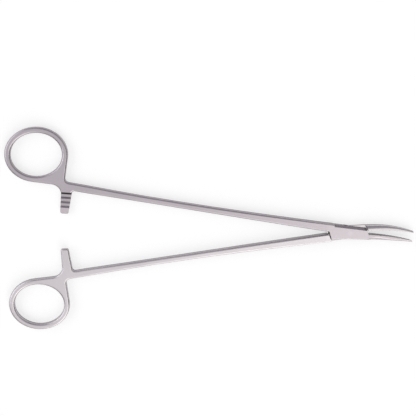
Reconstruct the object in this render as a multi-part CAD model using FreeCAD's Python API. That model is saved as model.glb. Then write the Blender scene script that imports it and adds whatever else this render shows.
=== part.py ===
import FreeCAD, Part
import math
import os
from FreeCAD import Vector

# Artery forceps with a box lock, slender shanks, curved tips and a ratchet.
# X runs from the finger rings to the jaws, Y across the halves, Z up through the thickness.
# The origin is on the pivot axis, in the plane of the box's underside. Millimetres and degrees.
# Each half is drawn with the jaws just closed, and then turned to the pose in which it rests.

# Pose and travel
half_open_deg = 3.5          # each half stands this far out of the closed pose at rest
opening_deg = 42.0           # from jaws closed to the stop inside the lock

# Finger rings
ring_hole_long = 23.4
ring_hole_short = 20.2
ring_bar = 2.75
ring_lean_deg = 9.0
ring_back = 152.9            # ring centre behind the pivot
ring_out = 27.2              # ring centre outside the closing line
handle_thick = 3.0
handle_round = 0.9

# Web between ring, shank and ratchet arm
web_under_deg = -3.5
web_neck_deg = 85.6
web_under_radius = 4.6
web_neck_radius = 2.0

# Ratchet
arm_ahead = 12.05            # outer side of the arm ahead of the ring's centre
arm_tip_width = 3.8
arm_root_width = 5.0
arm_root_out = 10.6          # where the arm steps down from the web, outside the closing line
arm_overlap = 0.1            # how far each arm crosses the closing line when the jaws just close
arm_tip_radius = 1.0
arm_root_radius = 1.4
tooth_land = 0.36            # flat between that step and the first tooth
tooth_pitch = 2.18
tooth_count = 4
tooth_depth = 0.6
tooth_hook = 0.25            # how far the crests stand into the other arm's level
tooth_steep = 0.8            # run of a tooth's steep face along the arm

# Shanks, from the web to the lock: place behind the pivot, offset outwards, width and thickness
shank_rear_ahead = 24.9      # where the shank starts, ahead of the ring's centre
shank_rear_out = 12.42
shank_rear_width = 3.65
shank_slim = 100.0
shank_slim_width = 3.08
shank_slim_thick = 3.05
shank_mid = 58.0
shank_mid_width = 3.3
shank_mid_thick = 3.35
shank_front_low = 0.12       # inner and outer side where the shank runs into the lock
shank_front_high = 3.98
shank_front_round = 0.5
shank_bow = 0.5              # how far the middle of the shank bows towards the closing line

# Box lock
box_thick = 4.6
box_start = 12.0             # where the shank runs into the box, behind the pivot
box_side_front = 2.9         # outer side of the box at its front corner
box_side_back = 3.9          # inner side of the box at its back corner
box_waist = 3.0
box_waist_radius = 48.0
box_run_out = 1.5            # straight stretch of its inner side before the jaw
box_edge = 0.5               # rounding along the inner side of the box
box_bevel = 1.1              # bevel along its outer side
box_bevel_start = 8.3
lock_end_deg = 22.8          # the ends of the cheeks stand square to this direction
lock_back = 9.66             # pivot to the back end of the cheeks
lock_front = 8.5             # pivot to the front end of the cheeks
lock_end_gap = 0.35
tongue_thick = 1.5
tongue_gap = 0.05            # clearance above and below the tongue
tongue_side_gap = 0.12
tongue_flank_deg = 44.5
tongue_flank = 3.25          # pivot to each slanting flank of the tongue

# Pivot pin
pin_radius = 1.2
pin_running_gap = 0.03

# Jaws
jaw_start = 9.3
jaw_tip = 32.8
jaw_line_out = 0.25          # the closing line of the jaws at their start
jaw_line_flat = 10.0         # where the closing line starts to curve
jaw_line_radius = 115.0
jaw_relief = 0.45            # how far each inner face falls back at the lock, so that the tips meet first
male_back_out = 3.45
male_back_flat = 9.0
male_tip_width = 0.774
female_root_out = 2.83
female_tip_width = 0.734
female_bow = 0.2             # how far the lower jaw's back bows towards the closing line
jaw_tip_thick = 2.1
jaw_back_round = 1.9         # the backs are nearly half round at the lock
jaw_tip_round = 0.5
jaw_run_in = 3.2             # length over which the lower jaw's back grows out of the box
jaw_end_round = 0.4
jaw_tip_lead = 0.3           # chamfer that leads in to the inner faces
jaw_spare = 0.4              # left on the inner sides until they are cut to the closing line
serration_start = 11.0
serration_end = 31.4
serration_pitch = 0.75
serration_depth = 0.2
serration_gap = 0.1

mid = box_thick / 2
arm_back = ring_back - arm_ahead
shank_rear = ring_back - shank_rear_ahead
far = 60.0                   # longer than anything that a cutting block has to pass


def at(x, y, z=0.0):
    return Vector(x, y, z)


def direction(degrees):
    return Vector(math.cos(math.radians(degrees)), math.sin(math.radians(degrees)), 0)


def meet(point_a, along_a, point_b, along_b):
    """The point where two lines in the plane cross."""
    cross = along_a.x * along_b.y - along_a.y * along_b.x
    gap = point_b - point_a
    return point_a + along_a * ((gap.x * along_b.y - gap.y * along_b.x) / cross)


def turned(shape, degrees):
    """A copy of a shape, turned about the pivot."""
    copy = shape.copy()
    copy.rotate(at(0, 0), Vector(0, 0, 1), degrees)
    return copy


def turned_over(shape):
    """A copy of a shape, turned over about the closing line as the other half is."""
    copy = shape.copy()
    copy.rotate(at(0, 0, mid), Vector(1, 0, 0), 180)
    return copy


def corner_arc(before, corner, after, radius):
    """Start, middle and end of the arc that rounds a corner."""
    back = (before - corner).normalize()
    ahead = (after - corner).normalize()
    half = math.acos(back.dot(ahead)) / 2
    leg = radius / math.tan(half)
    inward = (back + ahead).normalize()
    return corner + back * leg, corner + inward * (radius / math.sin(half) - radius), corner + ahead * leg


def outline(corners, closed=True):
    """Edges through the corners (point, radius), each rounded by an arc. An open outline has sharp ends."""
    count = len(corners)
    stops = []
    for number, (corner, radius) in enumerate(corners):
        if radius == 0:
            stops.append((corner, corner, corner))
        else:
            stops.append(corner_arc(corners[number - 1][0], corner, corners[(number + 1) % count][0], radius))
    edges = []
    for number, (first, middle, last) in enumerate(stops):
        if middle != first:
            edges.append(Part.Arc(first, middle, last).toShape())
        if closed or number < count - 1:
            edges.append(Part.LineSegment(last, stops[(number + 1) % count][0]).toShape())
    return edges


def slab(edges, low, high):
    """A plate with the closed outline that the edges make, from one level to another."""
    face = Part.Face(Part.Wire(Part.__sortEdges__(edges)))
    face.translate(at(0, 0, low))
    return face.extrude(Vector(0, 0, high - low))


def polygon_slab(points, low, high):
    return slab(outline([(point, 0) for point in points]), low, high)


def level_edges(shape, low, high):
    """The edges that lie wholly in the top or the bottom plane of a plate."""
    chosen = []
    for edge in shape.Edges:
        heights = [vertex.Z for vertex in edge.Vertexes]
        if all(abs(z - low) < 1e-6 for z in heights) or all(abs(z - high) < 1e-6 for z in heights):
            chosen.append(edge)
    return chosen


def cross_section(x, low, high, thick, round_low, round_high):
    """A rectangle across X between two offsets, with its corners rounded alike on each side."""
    top, bottom = mid + thick / 2, mid - thick / 2
    return Part.Wire(outline([
        (at(x, high, top), round_high),
        (at(x, low, top), round_low),
        (at(x, low, bottom), round_low),
        (at(x, high, bottom), round_high),
    ]))


# Both halves: ring, ratchet arm and shank

def shank_centre(x):
    """Offset of the shank's centre line: a straight run from web to lock, bowed a little inwards."""
    front_out = (shank_front_low + shank_front_high) / 2
    share = (x + shank_rear) / (shank_rear - box_start)
    return shank_rear_out + (front_out - shank_rear_out) * share - shank_bow * 4 * share * (1 - share)


def shank_slope(x):
    step = 0.01
    return (shank_centre(x + step) - shank_centre(x - step)) / (2 * step)


def make_shank():
    """A loft from the web, where it starts square to its own run, to the lock, where it ends square to X."""
    front_width = shank_front_high - shank_front_low
    sections = []
    for back, width, thick, corner in (
            (shank_rear, shank_rear_width, handle_thick, handle_round),
            (shank_slim, shank_slim_width, shank_slim_thick, handle_round),
            (shank_mid, shank_mid_width, shank_mid_thick, handle_round),
            (box_start, front_width, box_thick, shank_front_round)):
        centre = shank_centre(-back)
        sections.append(cross_section(-back, centre - width / 2, centre + width / 2, thick, corner, corner))
    start_turn = math.degrees(math.atan(shank_slope(-shank_rear)))
    sections[0].rotate(at(-shank_rear, shank_centre(-shank_rear)), Vector(0, 0, 1), start_turn)
    return Part.makeLoft(sections, True, False)


def make_handle():
    """Ring, web and ratchet arm as one plate with rounded edges, and a stub for the shank."""
    low, high = mid - handle_thick / 2, mid + handle_thick / 2
    centre = at(-ring_back, ring_out)
    along = direction(ring_lean_deg)
    across = direction(ring_lean_deg + 90)
    hole_long, hole_short = ring_hole_long / 2, ring_hole_short / 2
    outer_long, outer_short = hole_long + ring_bar, hole_short + ring_bar
    outer = Part.Ellipse(centre + along * outer_long, centre + across * outer_short, centre)
    inner = Part.Ellipse(centre + along * hole_long, centre + across * hole_short, centre)

    def touch(tangent_deg):
        """Where the outer ellipse, followed anticlockwise, runs in the given direction."""
        turn = math.radians(tangent_deg - ring_lean_deg)
        return math.atan2(-math.cos(turn) / outer_long, math.sin(turn) / outer_short)

    neck_angle, under_angle = touch(web_neck_deg), touch(web_under_deg) + 2 * math.pi
    neck, under = outer.value(neck_angle), outer.value(under_angle)
    shank_end = at(-shank_rear, shank_centre(-shank_rear))
    run = Vector(1, shank_slope(-shank_rear), 0).normalize()
    shank_side = at(-run.y, run.x) * (shank_rear_width / 2)
    shank_low, shank_high = shank_end - shank_side, shank_end + shank_side
    arm_root = at(-arm_back + arm_root_width, arm_root_out)
    arm_end = at(-arm_back + arm_tip_width, -arm_overlap)
    edges = outline([
        (under, 0),
        (meet(under, direction(web_under_deg), at(-arm_back, 0), direction(90)), web_under_radius),
        (at(-arm_back, -arm_overlap), arm_tip_radius),
        (arm_end, arm_tip_radius),
        (meet(arm_end, arm_root - arm_end, shank_low, run), arm_root_radius),
        (shank_low, 0),
        (shank_high, 0),
        (meet(shank_high, run, neck, direction(web_neck_deg)), web_neck_radius),
        (neck, 0),
    ], closed=False)
    edges.append(Part.ArcOfEllipse(outer, neck_angle, under_angle).toShape())
    plate = slab(edges, low, high).cut(slab([inner.toShape()], low, high))
    rims = [edge for edge in level_edges(plate, low, high)
            if any(abs((vertex.Point - shank_end).dot(run)) > 1e-6 for vertex in edge.Vertexes)]
    return plate.makeFillet(handle_round, rims)


def make_tooth_cut():
    """What is missing above the ratchet teeth: steep faces towards the web, ramps towards the arm's tip."""
    crest = mid + tooth_hook
    root = crest - tooth_depth
    side = [at(0, arm_root_out, far), at(0, arm_root_out, root)]
    out = arm_root_out - tooth_land
    for number in range(tooth_count):
        side += [at(0, out, root), at(0, out - tooth_steep, crest)]
        out -= tooth_pitch
    side += [at(0, -arm_overlap, root), at(0, -far, root), at(0, -far, far)]
    cut = Part.Face(Part.makePolygon(side + side[:1])).extrude(at(2 * arm_root_width, 0))
    cut.translate(at(-arm_back - arm_root_width / 2, 0))
    return cut


def make_grip():
    """Handle and shank of the half whose ring stands on the +Y side, with its ratchet teeth facing up."""
    return make_handle().cut(make_tooth_cut()).fuse(make_shank())


# The lock

end_normal = direction(lock_end_deg)
end_run = direction(lock_end_deg - 90)


def on_end_line(distance, y):
    """The point with offset y on the line so far from the pivot that is parallel to the cheeks' ends."""
    return meet(end_normal * distance, end_run, at(0, y), at(1, 0))


def before_end_line(distance):
    """A block over everything behind such a line."""
    foot = end_normal * distance
    return polygon_slab([foot - end_run * far, foot + end_run * far, foot - end_normal * 2 * far], -far, far)


box_front = on_end_line(lock_front, box_side_front)
inner_run = Vector(1, shank_slope(-box_start), 0)


def box_side(x):
    """The box's outer side, straight on from the shank's."""
    return shank_front_high + (box_front.y - shank_front_high) * (x + box_start) / (box_front.x + box_start)


def box_inner(x):
    """The inner side of a shank, carried on into the lock."""
    return shank_front_low + inner_run.y * (x + box_start)


def make_root():
    """The full thickness between a shank and the lock."""
    sections = [cross_section(x, box_inner(x), box_side(x), box_thick, shank_front_round, shank_front_round)
                for x in (-box_start, -box_bevel_start)]
    return Part.makeLoft(sections, True, True)


def make_bevel_cut(level):
    """What the bevel takes off the box's outer side at one level."""
    width = box_bevel * math.sqrt(2)
    cut = Part.makeBox(far, width, width, at(0, -width / 2, -width / 2))
    cut.rotate(at(0, 0), Vector(1, 0, 0), 45)
    start = -box_bevel_start - 1
    cut.rotate(at(0, 0), Vector(0, 0, 1), math.degrees(math.atan(box_side(1) - box_side(0))))
    cut.translate(at(start, box_side(start), level))
    return cut


def make_box():
    """The two cheeks and what joins them, still without the slot."""
    inner = jaw_line_out - serration_gap / 2
    seat = box_inner(-box_bevel_start) + 2 * shank_front_round
    block = slab(outline([
        (on_end_line(-lock_back, seat), 0),
        (on_end_line(-lock_back, -box_side_back), 0),
        (at(0, -box_waist), box_waist_radius),
        (at(jaw_start - box_run_out, -female_root_out), box_waist_radius),
        (at(jaw_start, -female_root_out), 0),
        (at(jaw_start, inner), 0),
        (on_end_line(lock_front, inner), 0),
        (box_front, 0),
        (at(-box_bevel_start, box_side(-box_bevel_start)), 0),
        (at(-box_bevel_start, seat), 0),
    ]), 0, box_thick)
    lower = [edge for edge in level_edges(block, 0, box_thick)
             if all(vertex.Y < -box_waist / 2 for vertex in edge.Vertexes)]
    return block.makeFillet(box_edge, lower).cut(make_bevel_cut(0)).cut(make_bevel_cut(box_thick))


def make_slot():
    """The slot through the box, with room for the tongue from the closed pose to the opened one."""
    reach = tongue_flank + tongue_side_gap
    closed, opened = direction(tongue_flank_deg), direction(tongue_flank_deg + opening_deg)
    closed_foot = direction(tongue_flank_deg + 90) * reach
    opened_foot = direction(tongue_flank_deg + opening_deg + 90) * reach
    back_line = at(-box_start, tongue_side_gap - shank_front_low)
    front_line = at(jaw_start, jaw_line_out - tongue_side_gap)
    tongue_run = Vector(inner_run.x, -inner_run.y, 0)
    points = [
        back_line - tongue_run * far,
        meet(back_line, tongue_run, closed_foot, closed),
        meet(closed_foot, closed, opened_foot, opened),
        opened_foot + opened * far,
        at(far, far),
        front_line + tongue_run * far,
        meet(front_line, tongue_run, -closed_foot, closed),
        meet(-closed_foot, closed, -opened_foot, opened),
        -opened_foot - opened * far,
        at(-far, -far),
    ]
    half = tongue_thick / 2 + tongue_gap
    return polygon_slab(points, mid - half, mid + half)


def make_tongue():
    """The thin middle of the male half, from its back shoulder to its jaw."""
    flank = direction(tongue_flank_deg)
    foot = direction(tongue_flank_deg + 90) * tongue_flank
    tongue_run = Vector(inner_run.x, -inner_run.y, 0)
    jaw_inner = jaw_line_out + jaw_relief + serration_gap / 2
    points = [
        at(-box_start, -shank_front_low),
        meet(at(-box_start, -shank_front_low), tongue_run, foot, flank),
        meet(foot, flank, at(0, male_back_out), at(1, 0)),
        at(male_back_flat, male_back_out),
        at(jaw_start + 1, jaw_inner),
        at(jaw_start, jaw_inner),
        meet(at(jaw_start, jaw_inner), tongue_run, -foot, flank),
        meet(-foot, flank, at(0, -female_root_out), at(1, 0)),
        at(-box_start, -shank_front_high),
    ]
    return polygon_slab(points, mid - tongue_thick / 2, mid + tongue_thick / 2)


# The jaws

def arc_fall(run, curvature):
    """How far an arc has left its tangent after a run along the tangent."""
    return curvature * run ** 2 / (1 + math.sqrt(1 - (curvature * run) ** 2))


def arc_curvature(run, fall):
    """Curvature of the arc that falls so far over such a run."""
    return 2 * fall / (run ** 2 + fall ** 2)


def closing_line(x):
    return jaw_line_out - arc_fall(max(0.0, x - jaw_line_flat), 1 / jaw_line_radius)


male_fall = male_back_out - male_tip_width - closing_line(jaw_tip)
male_curvature = arc_curvature(jaw_tip - male_back_flat, male_fall)
female_rise = female_root_out - female_tip_width + closing_line(jaw_tip)


def jaw_share(x):
    return max(0.0, (x - jaw_start) / (jaw_tip - jaw_start))


def male_back(x):
    return male_back_out - arc_fall(max(0.0, x - male_back_flat), male_curvature)


def female_back(x):
    share = jaw_share(x)
    return -female_root_out + female_rise * share + female_bow * 4 * share * (1 - share)


def make_jaw(start, back, start_round):
    """A jaw with a rounded back, lofted to its tip, with spare metal on its inner side."""
    outwards = 1 if back(start) > closing_line(start) else -1
    second = start + jaw_run_in
    places = [start] + [second + (jaw_tip - second) * step / 3 for step in range(4)]
    sections = []
    for x in places:
        thick = box_thick + (jaw_tip_thick - box_thick) * jaw_share(x)
        corner = jaw_back_round + (jaw_tip_round - jaw_back_round) * jaw_share(x)
        corner = start_round if x == start else corner
        inner = closing_line(x) - outwards * jaw_spare
        if outwards > 0:
            sections.append(cross_section(x, inner, back(x), thick, 0, corner))
        else:
            sections.append(cross_section(x, back(x), inner, thick, corner, 0))
    jaw = Part.makeLoft(sections, True, False)
    tip = [edge for edge in jaw.Edges if all(abs(vertex.X - jaw_tip) < 1e-6 for vertex in edge.Vertexes)]
    return jaw.makeFillet(jaw_end_round, tip)


def closing_points(side):
    """The zigzag of one inner face, to its side of the closing line, with the lead-in at the tip."""
    centre = at(jaw_line_flat, jaw_line_out - jaw_line_radius)

    def shift(x):
        return side * (serration_gap / 2 + jaw_relief * (1 - jaw_share(x)))

    def on_arc(x, rise):
        turn = math.degrees(math.asin((x - jaw_line_flat) / jaw_line_radius))
        return centre + direction(90 - turn) * (jaw_line_radius + shift(x) + rise)

    half_pitches = 2 * round((serration_end - serration_start) / serration_pitch)
    half_pitch = (serration_end - serration_start) / half_pitches
    lead = side * jaw_tip_lead
    points = [at(jaw_start, jaw_line_out + shift(jaw_start)), on_arc(serration_start, 0)]
    for number in range(1, half_pitches):
        rise = serration_depth / 2 if number % 2 else -serration_depth / 2
        points.append(on_arc(serration_start + number * half_pitch, rise))
    points += [on_arc(serration_end, 0), on_arc(jaw_tip - jaw_tip_lead, 0)]
    return points + [on_arc(jaw_tip, lead), on_arc(jaw_tip + 1, lead)]


# The pieces

def make_female_half():
    half = make_grip().fuse(make_root()).fuse(make_box()).fuse(make_jaw(jaw_start, female_back, box_edge))
    half = half.cut(polygon_slab(closing_points(-1) + [at(far, far), at(jaw_start, far)], -far, far))
    return half.cut(make_slot()).cut(Part.makeCylinder(pin_radius, box_thick))


def make_male_half():
    back_end, front_end = -lock_back - lock_end_gap, lock_front + lock_end_gap
    root = turned_over(make_root()).common(before_end_line(back_end))
    jaw_root = on_end_line(front_end, male_back_out).x - 1
    jaw = make_jaw(jaw_root, male_back, jaw_back_round).cut(before_end_line(front_end))
    below = [at(-far, closing_points(1)[0].y)] + closing_points(1) + [at(far, -far), at(-far, -far)]
    jaw = jaw.cut(polygon_slab(below, -far, far))
    half = turned_over(make_grip()).fuse(root).fuse(make_tongue()).fuse(jaw)
    return half.cut(Part.makeCylinder(pin_radius + pin_running_gap, box_thick))


pieces = {
    "female_half": turned(make_female_half(), -half_open_deg),
    "male_half": turned(make_male_half(), half_open_deg),
    "pivot_pin": Part.makeCylinder(pin_radius, box_thick),
}
os.makedirs("parts", exist_ok=True)
for name, shape in pieces.items():
    shape.removeSplitter().exportStep("parts/" + name + ".step")
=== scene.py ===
import math

import bpy
from mathutils import Matrix, Vector

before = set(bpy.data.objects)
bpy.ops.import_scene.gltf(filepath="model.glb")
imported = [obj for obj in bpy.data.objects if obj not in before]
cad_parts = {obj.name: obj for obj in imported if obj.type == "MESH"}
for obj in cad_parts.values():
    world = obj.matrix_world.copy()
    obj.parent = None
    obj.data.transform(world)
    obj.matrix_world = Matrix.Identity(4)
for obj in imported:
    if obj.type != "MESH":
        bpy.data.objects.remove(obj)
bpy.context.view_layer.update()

MM = 0.001
WHITE = (1, 1, 1, 1)
scene = bpy.context.scene
scene.view_settings.view_transform = "Standard"

# The camera: its place and directions in the part's frame, how far it sees in metres, and its
# focal length in pixels of a picture that is PICTURE_PX wide.
PICTURE_PX = 416
FOCAL_PX = 729.7
SENSOR_MM = 36
CLIP_START = 0.01
CLIP_END = 20
CAMERA_EYE_MM = (-107.54, 91.36, 342.02)
CAMERA_RIGHT = (0.99439, 0.03125, 0.10106)
CAMERA_UP = (-0.00733, 0.97343, -0.22887)
CAMERA_BACK = (-0.10552, 0.22685, 0.96820)

# The grain of the steel: how many grains, brush lines (along them and across) and clouds to the
# metre, the finer steps in each, and how strongly and how high in metres the grain stands out.
BLAST_SCALE = 5200
BLAST_DETAIL = 3
BRUSH_SCALE = (120, 5200, 5200)
BRUSH_DETAIL = 4
CLOUD_SCALE = 70
CLOUD_DETAIL = 4
GRAIN_STRENGTH = 0.35
GRAIN_HEIGHT = 0.00003

# The tone of the steel: the grain's share in it beside the clouds, where in the noise its darkest
# and its lightest shade stand, and these two shades next to the tint.
GRAIN_SHARE = 0.35
TONE_STOPS = (0.3, 0.7)
TONE_SHADES = (0.95, 1.03)

# Painted shade on the upright sides: their tone next to the flats. Faces that look up or down by SIDE_LEVEL
# or more
# # have the flats' full tone.
SIDE_SHADE_TONE = 0.42
SIDE_LEVEL = 0.65

# Painted shade in recesses: its tone, how wide in metres a recess may be, and how many rays look for it.
# # It fades between these two values of a normal's Z, so that the faces that look down get no painted shade.
RECESS_SHADE_TONE = 0.35
RECESS_REACH = 0.002
RECESS_SAMPLES = 16
SHADE_FADE_ENDS = -0.5
SHADE_FADE_FULL = -0.2

# The finish of each node: its material, its tint, which way the brushing turns from +X in radians,
# the share of brushing beside blasting, and the least and the most roughness.
FINISHES = {
    "female_half": ("female_steel", (0.53, 0.49, 0.52), 0.06, 0.55, 0.26, 0.36),
    "male_half": ("male_steel", (0.66, 0.625, 0.65), -0.06, 0.55, 0.26, 0.36),
    "pivot_pin": ("pin_steel", (0.55, 0.51, 0.54), 0.06, 0.75, 0.26, 0.34),
}

# The floor, and what is added to its light where the camera or a reflection sees it, so that it
# comes out white.
FLOOR_RADIUS = 3.0
FLOOR_SIDES = 96
FLOOR_COLOUR = (0.5, 0.5, 0.5, 1)
FLOOR_LIFT = 0.62

# The steel mirrors a white backdrop low down, up to this sine of the angle above the horizon.
BACKDROP_TOP = 0.05

# Soft lights all round, each as degrees from overhead, degrees from +X towards +Y, sharpness,
# strength and colour.
SOFT_LIGHTS = {
    "ceiling": (0, 0, 6, 0.75, (1, 0.98, 1)),
    "overhead_right": (30, 317, 50, 1.85, (1, 0.99, 0.95)),
    "front_right": (55, 295, 20, 2.0, (1, 0.98, 0.95)),
    "front": (62, 270, 6, 0.7, (1, 0.99, 1)),
    "front_left": (33, 250, 20, 0.45, (1, 0.98, 1)),
    "left": (50, 184, 16, 2.1, (0.97, 0.98, 1)),
    "left_back": (60, 142, 20, 1.8, (0.97, 0.98, 1)),
    "back": (62, 90, 6, 0.38, (0.94, 0.88, 1)),
    "right_back": (66, 24, 10, 0.6, (1, 0.99, 1)),
}


def add_camera():
    data = bpy.data.cameras.new("camera")
    data.sensor_width = SENSOR_MM
    data.lens = SENSOR_MM * FOCAL_PX / PICTURE_PX
    data.clip_start = CLIP_START
    data.clip_end = CLIP_END
    camera = bpy.data.objects.new("camera", data)
    scene.collection.objects.link(camera)
    turn = Matrix((CAMERA_RIGHT, CAMERA_UP, CAMERA_BACK)).transposed().to_4x4()
    turn.translation = Vector(CAMERA_EYE_MM) * MM
    camera.matrix_world = turn
    scene.camera = camera


class Graph:
    """Builds a material's or the world's nodes."""

    def __init__(self, owner):
        owner.use_nodes = True
        self.tree = owner.node_tree
        self.tree.nodes.clear()

    def add(self, kind, inputs=(), **settings):
        node = self.tree.nodes.new(kind)
        for name, value in settings.items():
            setattr(node, name, value)
        for key, value in dict(inputs).items():
            socket = node.inputs[key]
            if isinstance(value, bpy.types.NodeSocket):
                self.tree.links.new(value, socket)
            else:
                socket.default_value = value
        return node

    def calc(self, operation, first, second=0):
        return self.add("ShaderNodeMath", {0: first, 1: second}, operation=operation).outputs[0]

    def mix(self, factor, first, second):
        return self.add("ShaderNodeMix", {"Factor": factor, "A": first, "B": second}).outputs["Result"]

    def noise(self, place, scale, detail):
        inputs = {"Vector": place, "Scale": scale, "Detail": detail}
        return self.add("ShaderNodeTexNoise", inputs).outputs["Fac"]

    def ramp(self, factor, stops):
        node = self.add("ShaderNodeValToRGB", {"Fac": factor})
        for element, (position, colour) in zip(node.color_ramp.elements, stops):
            element.position, element.color = position, colour
        return node.outputs["Color"]

    def remap(self, value, low, high, start=0, end=1):
        span = {"Value": value, "From Min": start, "From Max": end, "To Min": low, "To Max": high}
        return self.add("ShaderNodeMapRange", span).outputs["Result"]


def steel(name, tint, along, brush, rough_low, rough_high):
    """Satin steel: fine blasting, brushing along one direction, and painted shade on the upright sides and
    in recesses.
    """
    material = bpy.data.materials.new(name)
    graph = Graph(material)
    coordinates = graph.add("ShaderNodeTexCoord").outputs
    place = coordinates["Object"]
    turned = graph.add("ShaderNodeMapping", {"Vector": place, "Rotation": (0, 0, along)}).outputs["Vector"]
    lines = graph.add("ShaderNodeMapping", {"Vector": turned, "Scale": BRUSH_SCALE}).outputs["Vector"]
    brushed = graph.noise(lines, 1, BRUSH_DETAIL)
    blasted = graph.noise(place, BLAST_SCALE, BLAST_DETAIL)
    clouds = graph.noise(place, CLOUD_SCALE, CLOUD_DETAIL)
    grain = graph.mix(brush, blasted, brushed)
    tone = graph.mix(GRAIN_SHARE, clouds, grain)
    shades = [tuple(shade * part for part in tint) + (1,) for shade in TONE_SHADES]
    colour = graph.ramp(tone, zip(TONE_STOPS, shades))

    # Painted shade: the upright sides are darker than the flats, by how far their normal turns from up or
    # down.
    upright = graph.add("ShaderNodeSeparateXYZ", {"Vector": coordinates["Normal"]}).outputs["Z"]
    side_painted_shade = graph.remap(graph.calc("ABSOLUTE", upright), SIDE_SHADE_TONE, 1, 0, SIDE_LEVEL)
    # Painted shade: darker where ambient occlusion finds a recess, fading out on faces that look down.
    occlusion = graph.add("ShaderNodeAmbientOcclusion", {"Distance": RECESS_REACH}, samples=RECESS_SAMPLES)
    recess_painted_shade = graph.remap(occlusion.outputs["AO"], RECESS_SHADE_TONE, 1)
    above = graph.remap(upright, 0, 1, SHADE_FADE_ENDS, SHADE_FADE_FULL)
    for share in (side_painted_shade, graph.mix(above, 1, recess_painted_shade)):
        scaled = graph.add("ShaderNodeVectorMath", {0: colour, "Scale": share}, operation="SCALE")
        colour = scaled.outputs["Vector"]

    bump = {"Height": grain, "Strength": GRAIN_STRENGTH, "Distance": GRAIN_HEIGHT}
    shader = graph.add("ShaderNodeBsdfPrincipled", {
        "Base Color": colour,
        "Metallic": 1.0,
        "Roughness": graph.remap(tone, rough_low, rough_high),
        "Normal": graph.add("ShaderNodeBump", bump).outputs["Normal"],
    })
    graph.add("ShaderNodeOutputMaterial", {"Surface": shader.outputs["BSDF"]})
    return material


def dress(node, material):
    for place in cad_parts[node].material_slots:
        place.material = material


def add_floor():
    bpy.ops.mesh.primitive_circle_add(vertices=FLOOR_SIDES, radius=FLOOR_RADIUS, fill_type="NGON")
    floor = bpy.context.object
    floor.name = "floor"
    material = bpy.data.materials.new("floor")
    graph = Graph(material)
    path = graph.add("ShaderNodeLightPath").outputs
    seen = graph.calc("MAXIMUM", path["Is Camera Ray"], path["Is Glossy Ray"])
    seen = graph.calc("MAXIMUM", seen, path["Is Transmission Ray"])
    lift = graph.calc("MULTIPLY", seen, FLOOR_LIFT)
    matt = graph.add("ShaderNodeBsdfDiffuse", {"Color": FLOOR_COLOUR}).outputs[0]
    glow = graph.add("ShaderNodeEmission", {"Color": WHITE, "Strength": lift}).outputs[0]
    both = graph.add("ShaderNodeAddShader", {0: matt, 1: glow}).outputs[0]
    graph.add("ShaderNodeOutputMaterial", {"Surface": both})
    floor.data.materials.append(material)


def add_world():
    """A studio of soft lights that melt into each other, with darker gaps between them."""
    world = bpy.data.worlds.new("studio")
    scene.world = world
    graph = Graph(world)
    towards = graph.add("ShaderNodeTexCoord").outputs["Generated"]
    total = None
    for tilt, azimuth, sharpness, strength, colour in SOFT_LIGHTS.values():
        tilt, azimuth = math.radians(tilt), math.radians(azimuth)
        aim = (math.sin(tilt) * math.cos(azimuth), math.sin(tilt) * math.sin(azimuth), math.cos(tilt))
        facing = graph.add("ShaderNodeVectorMath", {0: towards, 1: aim}, operation="DOT_PRODUCT")
        share = graph.calc("POWER", graph.calc("MAXIMUM", facing.outputs["Value"]), sharpness)
        inputs = {"Color": colour + (1,), "Strength": graph.calc("MULTIPLY", share, strength)}
        light = graph.add("ShaderNodeBackground", inputs).outputs[0]
        total = light if total is None else graph.add("ShaderNodeAddShader", {0: total, 1: light}).outputs[0]
    # The camera sees a white backdrop all round, and the steel sees it low down.
    height = graph.add("ShaderNodeSeparateXYZ", {"Vector": towards}).outputs["Z"]
    path = graph.add("ShaderNodeLightPath").outputs
    seen = graph.calc("MULTIPLY", graph.calc("LESS_THAN", height, BACKDROP_TOP), path["Is Glossy Ray"])
    for ray in ("Is Camera Ray", "Is Transmission Ray"):
        seen = graph.calc("MAXIMUM", seen, path[ray])
    white = graph.add("ShaderNodeBackground", {"Color": WHITE, "Strength": 1}).outputs[0]
    both = graph.add("ShaderNodeMixShader", {0: seen, 1: total, 2: white}).outputs[0]
    graph.add("ShaderNodeOutputWorld", {"Surface": both})


add_camera()
add_world()
add_floor()

for node, finish in FINISHES.items():
    dress(node, steel(*finish))
